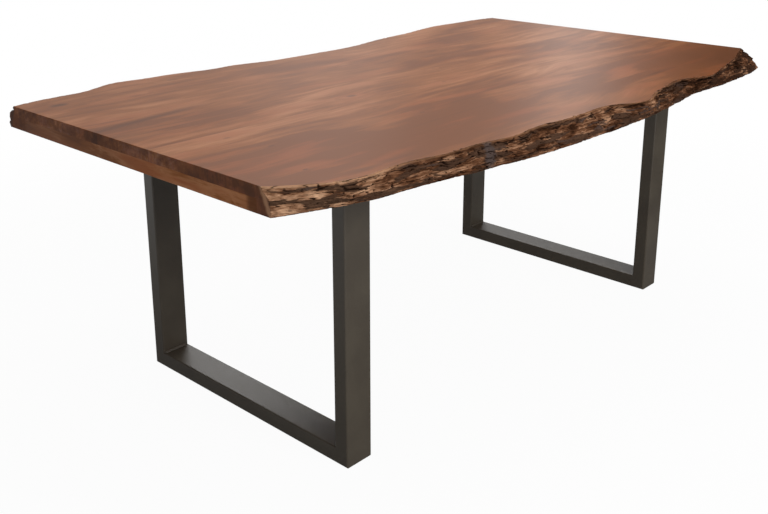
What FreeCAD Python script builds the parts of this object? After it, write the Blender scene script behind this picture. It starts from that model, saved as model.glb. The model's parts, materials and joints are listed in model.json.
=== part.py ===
import FreeCAD, Part
import os

# Live edge dining table: an edge-glued hardwood top with two waney long edges, carried by two closed
# frames of rectangular steel tube. Millimetres, +X along the table's length, +Z up. The origin is on
# the floor, under the middle of the table's overall box.

# ---- Top ---------------------------------------------------------------------------------------
TABLE_LENGTH = 2000.0
TABLE_HEIGHT = 760.0
EDGE_THICKNESS = 56.0        # live edge boards, and the ends of the top with their battens
PANEL_THICKNESS = 26.0       # core boards
CORE_WIDTH = 860.0           # between the glue lines of the two live edge boards
CORE_BOARDS = 5
END_BATTEN_WIDTH = 100.0
BEARER_WIDTH = 140.0
ARRIS_RADIUS = 1.5           # eased edges of the sawn ends

# Control widths of each live edge board, outwards from its glue line, at even steps from the left end
# to the right end: at the rim, where the bark side meets the top, and at the foot, where it meets the
# underside. The log's own waves and the bulge of an old branch are in them.
FRONT_RIM = [15, 105, 115, 95, 135, 115, 155, 125, 145, 145, 130,
             210, 150, 145, 110, 175, 150, 125, 110, 70, 40]
FRONT_FOOT = [40, 75, 110, 110, 125, 140, 155, 165, 170, 170, 175,
              170, 165, 155, 140, 125, 130, 135, 125, 125, 100]
BACK_RIM = [55, 80, 55, 130, 100, 105, 70, 85, 50, 45, 45,
            40, 50, 75, 90, 95, 120, 135, 120, 125, 105]
BACK_FOOT = [80, 95, 85, 140, 125, 115, 100, 100, 75, 65, 60,
             65, 75, 90, 115, 120, 140, 155, 145, 140, 125]
BARK_BELLY = 6.0             # how far the bark side swells at half the thickness

# ---- Frames ------------------------------------------------------------------------------------
FRAME_OVERHANG = 280.0       # from the end of the top to the frame's outer face
FRAME_WIDTH = 750.0          # across the table, outside the posts
TUBE_WIDTH = 80.0            # along the table
TUBE_DEPTH = 40.0            # across the table on a post, and the height of a floor rail
TUBE_WALL = 2.5
TUBE_CORNER_RADIUS = 4.0
PLATE_THICKNESS = 6.0
PLATE_WIDTH = 80.0
PLATE_CORNER_RADIUS = 5.0
WELD_LEG = 5.0
WELD_CROWN = 0.5             # how far a bead's face stands out from a flat fillet, along each leg

# ---- Fasteners ---------------------------------------------------------------------------------
BOLTS_PER_FRAME = 3
BOLT_INSET = 50.0            # from a post's inner face to the first bolt
BOLT_DIAMETER = 8.0
BOLT_TIP_MARGIN = 3.0        # from the bolt's tip to the insert's far end
BOLT_HEAD_ACROSS_FLATS = 13.0
BOLT_HEAD_HEIGHT = 5.3
WASHER_DIAMETER = 24.0
WASHER_THICKNESS = 2.0
WASHER_CLEARANCE = 0.2       # radial, round the bolt
HOLE_CLEARANCE = 0.5         # radial, round the bolt in the plate's holes and slots
SLOT_TRAVEL = 12.0           # lets the top shrink and swell across its grain
INSERT_DIAMETER = 12.0
INSERT_HOLE_COVER = 7.0      # timber left between the insert's hole and the panel
INSERT_HOLE_RELIEF = 3.0     # room left above the insert
INSERT_BORE_CLEARANCE = 0.1  # radial, round the bolt
INSERT_FIT = 0.1             # radial, in the bearer

# ---- Worked out from the sizes above -------------------------------------------------------------
HALF_LENGTH = TABLE_LENGTH / 2
HALF_CORE = CORE_WIDTH / 2
UNDERSIDE_Z = TABLE_HEIGHT - EDGE_THICKNESS
PANEL_Z = TABLE_HEIGHT - PANEL_THICKNESS
BATTEN_THICKNESS = EDGE_THICKNESS - PANEL_THICKNESS
BOARD_WIDTH = CORE_WIDTH / CORE_BOARDS
FRAME_X = HALF_LENGTH - FRAME_OVERHANG - TUBE_WIDTH / 2
POST_MIDDLE_Y = (FRAME_WIDTH - TUBE_DEPTH) / 2
POST_INNER_Y = FRAME_WIDTH / 2 - TUBE_DEPTH
POST_TOP_Z = UNDERSIDE_Z - PLATE_THICKNESS
PLATE_HOLE_RADIUS = BOLT_DIAMETER / 2 + HOLE_CLEARANCE
INSERT_HOLE_DEPTH = BATTEN_THICKNESS - INSERT_HOLE_COVER
INSERT_LENGTH = INSERT_HOLE_DEPTH - INSERT_HOLE_RELIEF
BOLT_SEAT_Z = POST_TOP_Z - WASHER_THICKNESS
BOLT_TIP_Z = UNDERSIDE_Z + INSERT_LENGTH - BOLT_TIP_MARGIN
SIDES = {"left": -1, "right": 1}


def box(x_low, x_high, y_low, y_high, z_low, z_high):
    corner = FreeCAD.Vector(x_low, y_low, z_low)
    return Part.makeBox(x_high - x_low, y_high - y_low, z_high - z_low, corner)


def upright_cylinder(radius, height, x, y, z):
    return Part.makeCylinder(radius, height, FreeCAD.Vector(x, y, z))


def straight_edge(start, end):
    return Part.LineSegment(start, end).toShape()


# ---- Top ---------------------------------------------------------------------------------------
def end_arris_cutters():
    """Quarter-round corners to take off the sawn ends: along the top and along the underside."""
    cutters = []
    reach = TABLE_LENGTH
    for end in SIDES.values():
        for face_z, inwards in ((TABLE_HEIGHT, -1), (UNDERSIDE_Z, 1)):
            x_axis = end * (HALF_LENGTH - ARRIS_RADIUS)
            z_axis = face_z + inwards * ARRIS_RADIUS
            corner = box(min(x_axis, end * HALF_LENGTH), max(x_axis, end * HALF_LENGTH),
                         -reach, reach, min(z_axis, face_z), max(z_axis, face_z))
            round_bar = Part.makeCylinder(ARRIS_RADIUS, 2 * reach,
                                          FreeCAD.Vector(x_axis, -reach, z_axis),
                                          FreeCAD.Vector(0, 1, 0))
            cutters.append(corner.cut(round_bar))
    return Part.makeCompound(cutters)


def ease_ends(timber):
    return timber.cut(end_arris_cutters())


def bark_skin(rim_widths, foot_widths, side):
    """The waney surface, drawn by its control widths: cubic along the log, a parabola from rim to foot."""
    step = TABLE_LENGTH / (len(rim_widths) - 1)
    middle_z = TABLE_HEIGHT - EDGE_THICKNESS / 2
    poles = []
    for index, (rim, foot) in enumerate(zip(rim_widths, foot_widths)):
        x = -HALF_LENGTH + index * step
        belly = (rim + foot) / 2 + 2 * BARK_BELLY
        poles.append([FreeCAD.Vector(x, side * (HALF_CORE + width), z)
                      for width, z in ((rim, TABLE_HEIGHT), (belly, middle_z), (foot, UNDERSIDE_Z))])
    spans = len(poles) - 3
    sheet = Part.BSplineSurface()
    sheet.buildFromPolesMultsKnots(poles, [4] + [1] * (spans - 1) + [4], [3, 3],
                                   list(range(spans + 1)), [0, 1], False, False, 3, 2)
    return sheet.toShape()


def boundary(skin, axis, value):
    """The edge of the skin that lies all along the plane where the named axis has this value."""
    for edge in skin.Edges:
        if all(abs(getattr(vertex.Point, axis) - value) < 0.001 for vertex in edge.Vertexes):
            return edge
    raise ValueError("the skin has no edge at " + axis)


def live_edge_board(rim_widths, foot_widths, side):
    """A full-thickness board: a sawn glue face, and the bark side left as it grew."""
    skin = bark_skin(rim_widths, foot_widths, side)
    levels = (UNDERSIDE_Z, TABLE_HEIGHT)
    ends = (-HALF_LENGTH, HALF_LENGTH)
    glue_corner = {(x, z): FreeCAD.Vector(x, side * HALF_CORE, z) for x in ends for z in levels}
    glue_edge = {z: straight_edge(glue_corner[ends[0], z], glue_corner[ends[1], z]) for z in levels}
    upright = {x: straight_edge(glue_corner[x, UNDERSIDE_Z], glue_corner[x, TABLE_HEIGHT]) for x in ends}
    crossing = {}
    for z in levels:
        for vertex in boundary(skin, "z", z).Vertexes:
            x = min(ends, key=lambda end: abs(end - vertex.Point.x))
            crossing[x, z] = straight_edge(glue_corner[x, z], vertex.Point)
    loops = [list(glue_edge.values()) + list(upright.values())]
    for z in levels:
        loops.append([boundary(skin, "z", z), glue_edge[z]] + [crossing[x, z] for x in ends])
    for x in ends:
        loops.append([boundary(skin, "x", x), upright[x]] + [crossing[x, z] for z in levels])
    faces = [Part.Face(Part.Wire(Part.sortEdges(loop)[0])) for loop in loops]
    shell = Part.Shell([skin] + faces)
    shell.sewShape()
    board = Part.Solid(shell)
    if board.Volume < 0:
        board.reverse()
    return ease_ends(board)


def core_board(index):
    """One flat board of the panel, glued to its neighbours edge to edge."""
    y_low = -HALF_CORE + index * BOARD_WIDTH
    return ease_ends(box(-HALF_LENGTH, HALF_LENGTH, y_low, y_low + BOARD_WIDTH, PANEL_Z, TABLE_HEIGHT))


def batten(x_middle, width):
    """A cross member that fills the step between the two live edge boards, under the panel."""
    return box(x_middle - width / 2, x_middle + width / 2, -HALF_CORE, HALF_CORE, UNDERSIDE_Z, PANEL_Z)


def end_batten(side):
    return ease_ends(batten(side * (HALF_LENGTH - END_BATTEN_WIDTH / 2), END_BATTEN_WIDTH))


def bearer(side):
    """The batten over a frame, with blind holes for the threaded inserts."""
    timber = batten(side * FRAME_X, BEARER_WIDTH)
    hole_radius = INSERT_DIAMETER / 2 + INSERT_FIT
    for y in bolt_places():
        timber = timber.cut(upright_cylinder(hole_radius, INSERT_HOLE_DEPTH, side * FRAME_X, y, UNDERSIDE_Z))
    return timber


# ---- Frames ------------------------------------------------------------------------------------
def rounded_rectangle(size_x, size_y, radius):
    """A flat face centred on the origin: straight sides between quarter-round corners."""
    centre_x = size_x / 2 - radius
    centre_y = size_y / 2 - radius
    arcs = []
    for turn, (x, y) in enumerate(((centre_x, centre_y), (-centre_x, centre_y),
                                   (-centre_x, -centre_y), (centre_x, -centre_y))):
        arcs.append(Part.makeCircle(radius, FreeCAD.Vector(x, y, 0), FreeCAD.Vector(0, 0, 1),
                                    90 * turn, 90 * (turn + 1)))
    sides = [straight_edge(arc.lastVertex().Point, following.firstVertex().Point)
             for arc, following in zip(arcs, arcs[1:] + arcs[:1])]
    return Part.Face(Part.Wire(Part.sortEdges(arcs + sides)[0]))


def tube(length):
    """Rectangular hollow section standing on the origin."""
    outside = rounded_rectangle(TUBE_WIDTH, TUBE_DEPTH, TUBE_CORNER_RADIUS)
    inner_x = TUBE_WIDTH / 2 - TUBE_WALL
    inner_y = TUBE_DEPTH / 2 - TUBE_WALL
    hollow = box(-inner_x, inner_x, -inner_y, inner_y, 0, length)
    return outside.extrude(FreeCAD.Vector(0, 0, length)).cut(hollow)


def mitre_wedge(side, end):
    """The floor rail's half of the square where it meets a post, cut off along the 45 degree mitre."""
    x_low = side * FRAME_X - TUBE_WIDTH
    outer_low = FreeCAD.Vector(x_low, end * FRAME_WIDTH / 2, 0)
    inner_low = FreeCAD.Vector(x_low, end * POST_INNER_Y, 0)
    inner_high = FreeCAD.Vector(x_low, end * POST_INNER_Y, TUBE_DEPTH)
    triangle = Part.Face(Part.makePolygon([outer_low, inner_high, inner_low, outer_low]))
    return triangle.extrude(FreeCAD.Vector(2 * TUBE_WIDTH, 0, 0))


def post(side, end):
    """Upright tube, from its mitre on the floor to the mounting plate."""
    upright = tube(POST_TOP_Z)
    upright.translate(FreeCAD.Vector(side * FRAME_X, end * POST_MIDDLE_Y, 0))
    return upright.cut(mitre_wedge(side, end))


def floor_rail(side):
    """Tube along the floor, mitred to both posts."""
    rail = tube(FRAME_WIDTH)
    rail.rotate(FreeCAD.Vector(0, 0, 0), FreeCAD.Vector(1, 0, 0), -90)
    rail.translate(FreeCAD.Vector(side * FRAME_X, -FRAME_WIDTH / 2, TUBE_DEPTH / 2))
    kept = box(side * FRAME_X - TUBE_WIDTH, side * FRAME_X + TUBE_WIDTH,
               -POST_INNER_Y, POST_INNER_Y, 0, TUBE_DEPTH)
    return rail.common(kept.fuse([mitre_wedge(side, end) for end in (-1, 1)]))


def plate_hole(x, y):
    """Through the mounting plate: round at the middle bolt, which keeps the top in its place, and a
    round-ended slot across the table at the others, where the top moves with the seasons."""
    if abs(y) < BOLT_DIAMETER:
        return upright_cylinder(PLATE_HOLE_RADIUS, PLATE_THICKNESS, x, y, POST_TOP_Z)
    cutter = box(x - PLATE_HOLE_RADIUS, x + PLATE_HOLE_RADIUS, y - SLOT_TRAVEL / 2, y + SLOT_TRAVEL / 2,
                 POST_TOP_Z, UNDERSIDE_Z)
    ends = [upright_cylinder(PLATE_HOLE_RADIUS, PLATE_THICKNESS, x, y + shift, POST_TOP_Z)
            for shift in (-SLOT_TRAVEL / 2, SLOT_TRAVEL / 2)]
    return cutter.fuse(ends).removeSplitter()


def mounting_plate(side):
    """Flat bar across both post tops, holed for the bolts."""
    bar = rounded_rectangle(PLATE_WIDTH, FRAME_WIDTH, PLATE_CORNER_RADIUS)
    plate = bar.extrude(FreeCAD.Vector(0, 0, PLATE_THICKNESS))
    plate.translate(FreeCAD.Vector(side * FRAME_X, 0, POST_TOP_Z))
    return plate.cut([plate_hole(side * FRAME_X, y) for y in bolt_places()])


def weld_bead(side, corner_y, corner_z, towards_y, towards_z):
    """A fillet weld along the flat of the tube, with a slightly crowned face."""
    length = TUBE_WIDTH - 2 * TUBE_CORNER_RADIUS
    root = FreeCAD.Vector(side * FRAME_X - length / 2, corner_y, corner_z)
    toe_y = root + FreeCAD.Vector(0, towards_y * WELD_LEG, 0)
    toe_z = root + FreeCAD.Vector(0, 0, towards_z * WELD_LEG)
    crown = root + FreeCAD.Vector(0, towards_y, towards_z) * (WELD_LEG / 2 + WELD_CROWN)
    outline = Part.Wire([straight_edge(root, toe_y), Part.Arc(toe_y, crown, toe_z).toShape(),
                         straight_edge(toe_z, root)])
    return Part.Face(outline).extrude(FreeCAD.Vector(length, 0, 0))


def weld_beads(side):
    """Beads in the two inner bottom corners, and inside each post under the plate."""
    beads = []
    for end in (-1, 1):
        beads.append(weld_bead(side, end * POST_INNER_Y, TUBE_DEPTH, -end, 1))
        beads.append(weld_bead(side, end * POST_INNER_Y, POST_TOP_Z, -end, -1))
    return Part.makeCompound(beads)


# ---- Fasteners ---------------------------------------------------------------------------------
def bolt_places():
    """Evenly spaced along the plate, between the two posts."""
    last = POST_INNER_Y - BOLT_INSET
    spacing = 2 * last / (BOLTS_PER_FRAME - 1)
    return [index * spacing - last for index in range(BOLTS_PER_FRAME)]


def bolt(x, y):
    """Hexagon bolt: its head under the washer, its shank up through the plate into the insert."""
    shank = upright_cylinder(BOLT_DIAMETER / 2, BOLT_TIP_Z - BOLT_SEAT_Z, x, y, BOLT_SEAT_Z)
    corner = FreeCAD.Vector(BOLT_HEAD_ACROSS_FLATS / 3 ** 0.5, 0, 0)
    turns = [FreeCAD.Rotation(FreeCAD.Vector(0, 0, 1), 60 * step) for step in range(7)]
    hexagon = Part.Face(Part.makePolygon([turn.multVec(corner) for turn in turns]))
    head = hexagon.extrude(FreeCAD.Vector(0, 0, BOLT_HEAD_HEIGHT))
    head.translate(FreeCAD.Vector(x, y, BOLT_SEAT_Z - BOLT_HEAD_HEIGHT))
    return head.fuse(shank)


def washer(x, y):
    hole_radius = BOLT_DIAMETER / 2 + WASHER_CLEARANCE
    disc = upright_cylinder(WASHER_DIAMETER / 2, WASHER_THICKNESS, x, y, BOLT_SEAT_Z)
    return disc.cut(upright_cylinder(hole_radius, WASHER_THICKNESS, x, y, BOLT_SEAT_Z))


def threaded_insert(x, y):
    """Steel sleeve for the bolt, flush with the bearer's underside."""
    sleeve = upright_cylinder(INSERT_DIAMETER / 2, INSERT_LENGTH, x, y, UNDERSIDE_Z)
    bore = upright_cylinder(BOLT_DIAMETER / 2 + INSERT_BORE_CLEARANCE, INSERT_LENGTH, x, y, UNDERSIDE_Z)
    return sleeve.cut(bore)


def at_every_bolt(make_one):
    return Part.makeCompound([make_one(side * FRAME_X, y) for side in SIDES.values() for y in bolt_places()])


# ---- The table -----------------------------------------------------------------------------------
def table_parts():
    """Every piece by its node's name, about the core's own centre line."""
    parts = {"front_live_edge_board": live_edge_board(FRONT_RIM, FRONT_FOOT, -1),
             "back_live_edge_board": live_edge_board(BACK_RIM, BACK_FOOT, 1)}
    for index in range(CORE_BOARDS):
        parts["core_board_" + str(index + 1)] = core_board(index)
    for name, side in SIDES.items():
        parts[name + "_end_batten"] = end_batten(side)
        parts[name + "_bearer"] = bearer(side)
        parts[name + "_frame_front_post"] = post(side, -1)
        parts[name + "_frame_rear_post"] = post(side, 1)
        parts[name + "_frame_floor_rail"] = floor_rail(side)
        parts[name + "_frame_mounting_plate"] = mounting_plate(side)
        parts[name + "_frame_weld_beads"] = weld_beads(side)
    parts["frame_bolts"] = at_every_bolt(bolt)
    parts["frame_washers"] = at_every_bolt(washer)
    parts["threaded_inserts"] = at_every_bolt(threaded_insert)
    return parts


def to_overall_middle(parts):
    """The shift that puts the origin midway between the outermost points of the two live edges."""
    front = parts["front_live_edge_board"].optimalBoundingBox(False)
    back = parts["back_live_edge_board"].optimalBoundingBox(False)
    return FreeCAD.Vector(0, -(front.YMin + back.YMax) / 2, 0)


def main():
    os.makedirs("parts", exist_ok=True)
    parts = table_parts()
    shift = to_overall_middle(parts)
    for name, shape in parts.items():
        shape.translate(shift)
        shape.exportStep("parts/" + name + ".step")


main()
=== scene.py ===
"""The looks of a live edge dining table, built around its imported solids.

Two waney boards, a panel of core boards and its battens are dressed as stained acacia, and two closed
frames of rectangular tube as bronze powder coat. Metres, +X along the table, +Z up, floor at Z = 0.
"""
import json
import logging
import math
from collections.abc import Sequence
from dataclasses import dataclass, replace
from enum import Enum
from functools import cached_property, reduce
from typing import Any

import bpy
import numpy as np
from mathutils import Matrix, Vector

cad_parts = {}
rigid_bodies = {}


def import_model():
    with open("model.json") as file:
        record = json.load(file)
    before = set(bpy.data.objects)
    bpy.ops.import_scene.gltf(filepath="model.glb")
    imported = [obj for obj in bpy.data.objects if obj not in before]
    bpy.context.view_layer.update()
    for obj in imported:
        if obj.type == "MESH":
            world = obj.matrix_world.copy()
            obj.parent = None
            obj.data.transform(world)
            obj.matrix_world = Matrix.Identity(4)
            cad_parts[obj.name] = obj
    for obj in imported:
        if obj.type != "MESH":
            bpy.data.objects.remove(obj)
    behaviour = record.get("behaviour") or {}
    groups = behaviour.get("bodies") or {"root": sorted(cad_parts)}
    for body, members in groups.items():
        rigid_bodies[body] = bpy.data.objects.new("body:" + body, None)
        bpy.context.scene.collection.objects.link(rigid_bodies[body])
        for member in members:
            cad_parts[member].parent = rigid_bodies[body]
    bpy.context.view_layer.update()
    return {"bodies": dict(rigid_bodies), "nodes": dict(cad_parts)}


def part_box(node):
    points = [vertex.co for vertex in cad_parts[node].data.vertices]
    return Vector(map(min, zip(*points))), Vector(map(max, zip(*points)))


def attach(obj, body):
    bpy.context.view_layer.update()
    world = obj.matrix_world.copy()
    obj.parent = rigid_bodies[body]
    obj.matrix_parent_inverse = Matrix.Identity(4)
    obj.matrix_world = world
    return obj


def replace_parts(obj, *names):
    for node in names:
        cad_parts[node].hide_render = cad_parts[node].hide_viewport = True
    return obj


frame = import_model()

LOG = logging.getLogger("live_edge_table")
BODY = next(iter(frame["bodies"]))
Colour = tuple[float, float, float]
Triple = tuple[float, float, float]
Pair = tuple[float, float]
Array = np.ndarray
BLACK: Colour = (0.0, 0.0, 0.0)
WHITE: Colour = (1.0, 1.0, 1.0)
SIDES = ("left", "right")
CROSS_MEMBERS = ("end_batten", "bearer")


class Slot(Enum):
    """The record's material slots, passed along with each new piece."""

    BARK = "live_edge_acacia"
    STEEL = "bronze_powder_coat"
    ZINC = "zinc_plated_steel"


class Grain(Enum):
    """Which way a board's grain runs, as the turn about Z that brings it onto X."""

    ALONG = 0.0
    ACROSS = math.pi / 2


# ---- Shader writing ----
@dataclass(frozen=True)
class Wire:
    """One output socket of a node tree, so that shader maths is written as arithmetic."""

    tree: "Tree"
    socket: bpy.types.NodeSocket

    def output(self, name: str) -> "Wire":
        """Another output of the same node, by its name."""
        return Wire(self.tree, self.socket.node.outputs[name])

    def maths(self, operation: str, *values: Any) -> "Wire":
        """A Math node on some values, in their order."""
        return self.tree.node("ShaderNodeMath", {"operation": operation}, dict(enumerate(values)))

    def __add__(self, other: Any) -> "Wire":
        """Sum."""
        return self.maths("ADD", self, other)

    def __sub__(self, other: Any) -> "Wire":
        """Difference."""
        return self.maths("SUBTRACT", self, other)

    def __rsub__(self, other: Any) -> "Wire":
        """Difference, with the other value first."""
        return self.maths("SUBTRACT", other, self)

    def __mul__(self, other: Any) -> "Wire":
        """Product."""
        return self.maths("MULTIPLY", self, other)

    __radd__ = __add__
    __rmul__ = __mul__

    def __abs__(self) -> "Wire":
        """Size without sign."""
        return self.maths("ABSOLUTE", self)

    def power(self, exponent: float) -> "Wire":
        """This value raised to a power."""
        return self.maths("POWER", self, exponent)

    def highest(self, other: Any) -> "Wire":
        """The larger of this and another value."""
        return self.maths("MAXIMUM", self, other)

    def ease(self, low: float, high: float, start: float = 0.0, end: float = 1.0) -> "Wire":
        """A smooth step from start to end, while this value goes from low to high."""
        return self.tree.node("ShaderNodeMapRange", {"interpolation_type": "SMOOTHSTEP"},
                              {"Value": self, "From Min": low, "From Max": high,
                               "To Min": start, "To Max": end})


class Tree:
    """The nodes of one material or world, written from code."""

    def __init__(self, owner: bpy.types.Material | bpy.types.World) -> None:
        """Empties the owner's node tree for writing.

        Args:
            owner: The material or world whose nodes are written.
        """
        owner.use_nodes = True
        self.nodes = owner.node_tree.nodes
        self.links = owner.node_tree.links
        self.nodes.clear()

    def node(self, kind: str, settings: dict[str, Any] | None = None,
             values: dict[Any, Any] | None = None, output: int | str = 0) -> Wire | None:
        """Adds any node.

        Args:
            kind: The node's type.
            settings: Its properties, set before its sockets. The stops of a ramp are the entry "stops".
            values: What each input gets, by its number, identifier or name: a number, a colour, a vector
                or the output of another node.
            output: Which output to return, by its number, identifier or name.

        Returns:
            The chosen output, or nothing where the node has none.
        """
        made = self.nodes.new(kind)
        settings = dict(settings or {})
        for at, (position, colour) in enumerate(settings.pop("stops", ())):
            elements = made.color_ramp.elements
            element = elements[at] if at < len(elements) else elements.new(position)
            element.position = position
            element.color = (*colour, 1.0)
        for name, value in settings.items():
            setattr(made, name, value)
        for key, value in (values or {}).items():
            socket = self.socket(made.inputs, key)
            if isinstance(value, Wire):
                self.links.new(value.socket, socket)
            else:
                socket.default_value = value
        return Wire(self, self.socket(made.outputs, output)) if len(made.outputs) else None

    @staticmethod
    def socket(sockets: Any, key: int | str) -> bpy.types.NodeSocket:
        """One of a node's sockets, by its number, identifier or name."""
        if isinstance(key, int):
            return sockets[key]
        return next(s for s in sockets if s.identifier == key or (s.name == key and s.enabled))

    def place(self, turn: float = 0.0, shift: Triple = (0.0, 0.0, 0.0)) -> Wire:
        """The point in the table's own frame, turned about Z and then shifted."""
        point = self.node("ShaderNodeTexCoord", output="Object")
        return self.node("ShaderNodeMapping", {"vector_type": "POINT"},
                         {"Vector": point, "Rotation": (0.0, 0.0, turn), "Location": shift})

    def split(self, point: Wire) -> Wire:
        """A point's X, on a node whose other outputs are its Y and Z."""
        return self.node("ShaderNodeSeparateXYZ", {}, {"Vector": point}, "X")

    @cached_property
    def flat(self) -> Wire:
        """The place in the table's own frame, split into its axes."""
        return self.split(self.place())

    def noise(self, point: Wire, stretch: Triple, detail: float = 2.0, rough: float = 0.5) -> Wire:
        """Noise about 0.5, with so many lumps per metre along each axis and so many finer layers."""
        scaled = self.node("ShaderNodeVectorMath", {"operation": "MULTIPLY"}, {0: point, 1: stretch})
        return self.node("ShaderNodeTexNoise", {},
                         {"Vector": scaled, "Scale": 1.0, "Detail": detail, "Roughness": rough})

    def bands(self, distance: Wire, per_metre: float, detail: float) -> Wire:
        """Uneven bands about 0.5 along one distance."""
        return self.node("ShaderNodeTexNoise", {"noise_dimensions": "1D"},
                         {"W": distance * per_metre, "Scale": 1.0, "Detail": detail})

    def ramp(self, value: Wire, *stops: tuple[float, Colour]) -> Wire:
        """Colours picked along a value from 0 to 1."""
        return self.node("ShaderNodeValToRGB", {"stops": stops}, {"Fac": value})

    def mix(self, share: Any, below: Any, above: Any, blend: str = "MIX") -> Wire:
        """A share from 0 to 1 of one colour laid over another, each as numbers or as an output."""
        below, above = (c if isinstance(c, Wire) else (*c, 1.0) for c in (below, above))
        return self.node("ShaderNodeMix", {"data_type": "RGBA", "blend_type": blend},
                         {"Factor_Float": share, "A_Color": below, "B_Color": above}, "Result_Color")

    def bump(self, height: Wire, depth: float) -> Wire:
        """A surface normal tilted by a height from 0 to 1 that is so many metres deep."""
        return self.node("ShaderNodeBump", {}, {"Height": height, "Distance": depth, "Strength": 1.0})

    def surface(self, values: dict[str, Any]) -> None:
        """Ends a material in one Principled surface with these values on its sockets."""
        shader = self.node("ShaderNodeBsdfPrincipled", {}, values)
        self.node("ShaderNodeOutputMaterial", {}, {"Surface": shader})


# ---- Finishes ----
@dataclass(frozen=True)
class Knot:
    """A knot that shows in the top, by its place in the board's plane and its half length."""

    x: float
    y: float
    reach: float
    dark: float


@dataclass(frozen=True)
class Streak:
    """A long streak or zone in the top that is darker than its board, or lighter where dark is negative."""

    x_low: float
    x_high: float
    y: float
    half_width: float
    slope: float
    dark: float

    def touches(self, low: float, high: float) -> bool:
        """Whether the streak reaches a board that lies between two values of Y."""
        return low - self.half_width < self.y < high + self.half_width


@dataclass(frozen=True)
class BarkLine:
    """Where the bark meets the timber on a board's ends: the Z of its two faces, and the bark's Y at each
    of them, on the end at low X and on the other."""

    top: float
    bottom: float
    left: Pair
    right: Pair


@dataclass(frozen=True)
class Finish:
    """A named finish, whose nodes its own class writes."""

    name: str

    def material(self) -> bpy.types.Material:
        """The finished material."""
        made = bpy.data.materials.new(self.name)
        self.write(Tree(made))
        return made

    def write(self, tree: Tree) -> None:
        """Writes the nodes."""
        raise NotImplementedError


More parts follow.
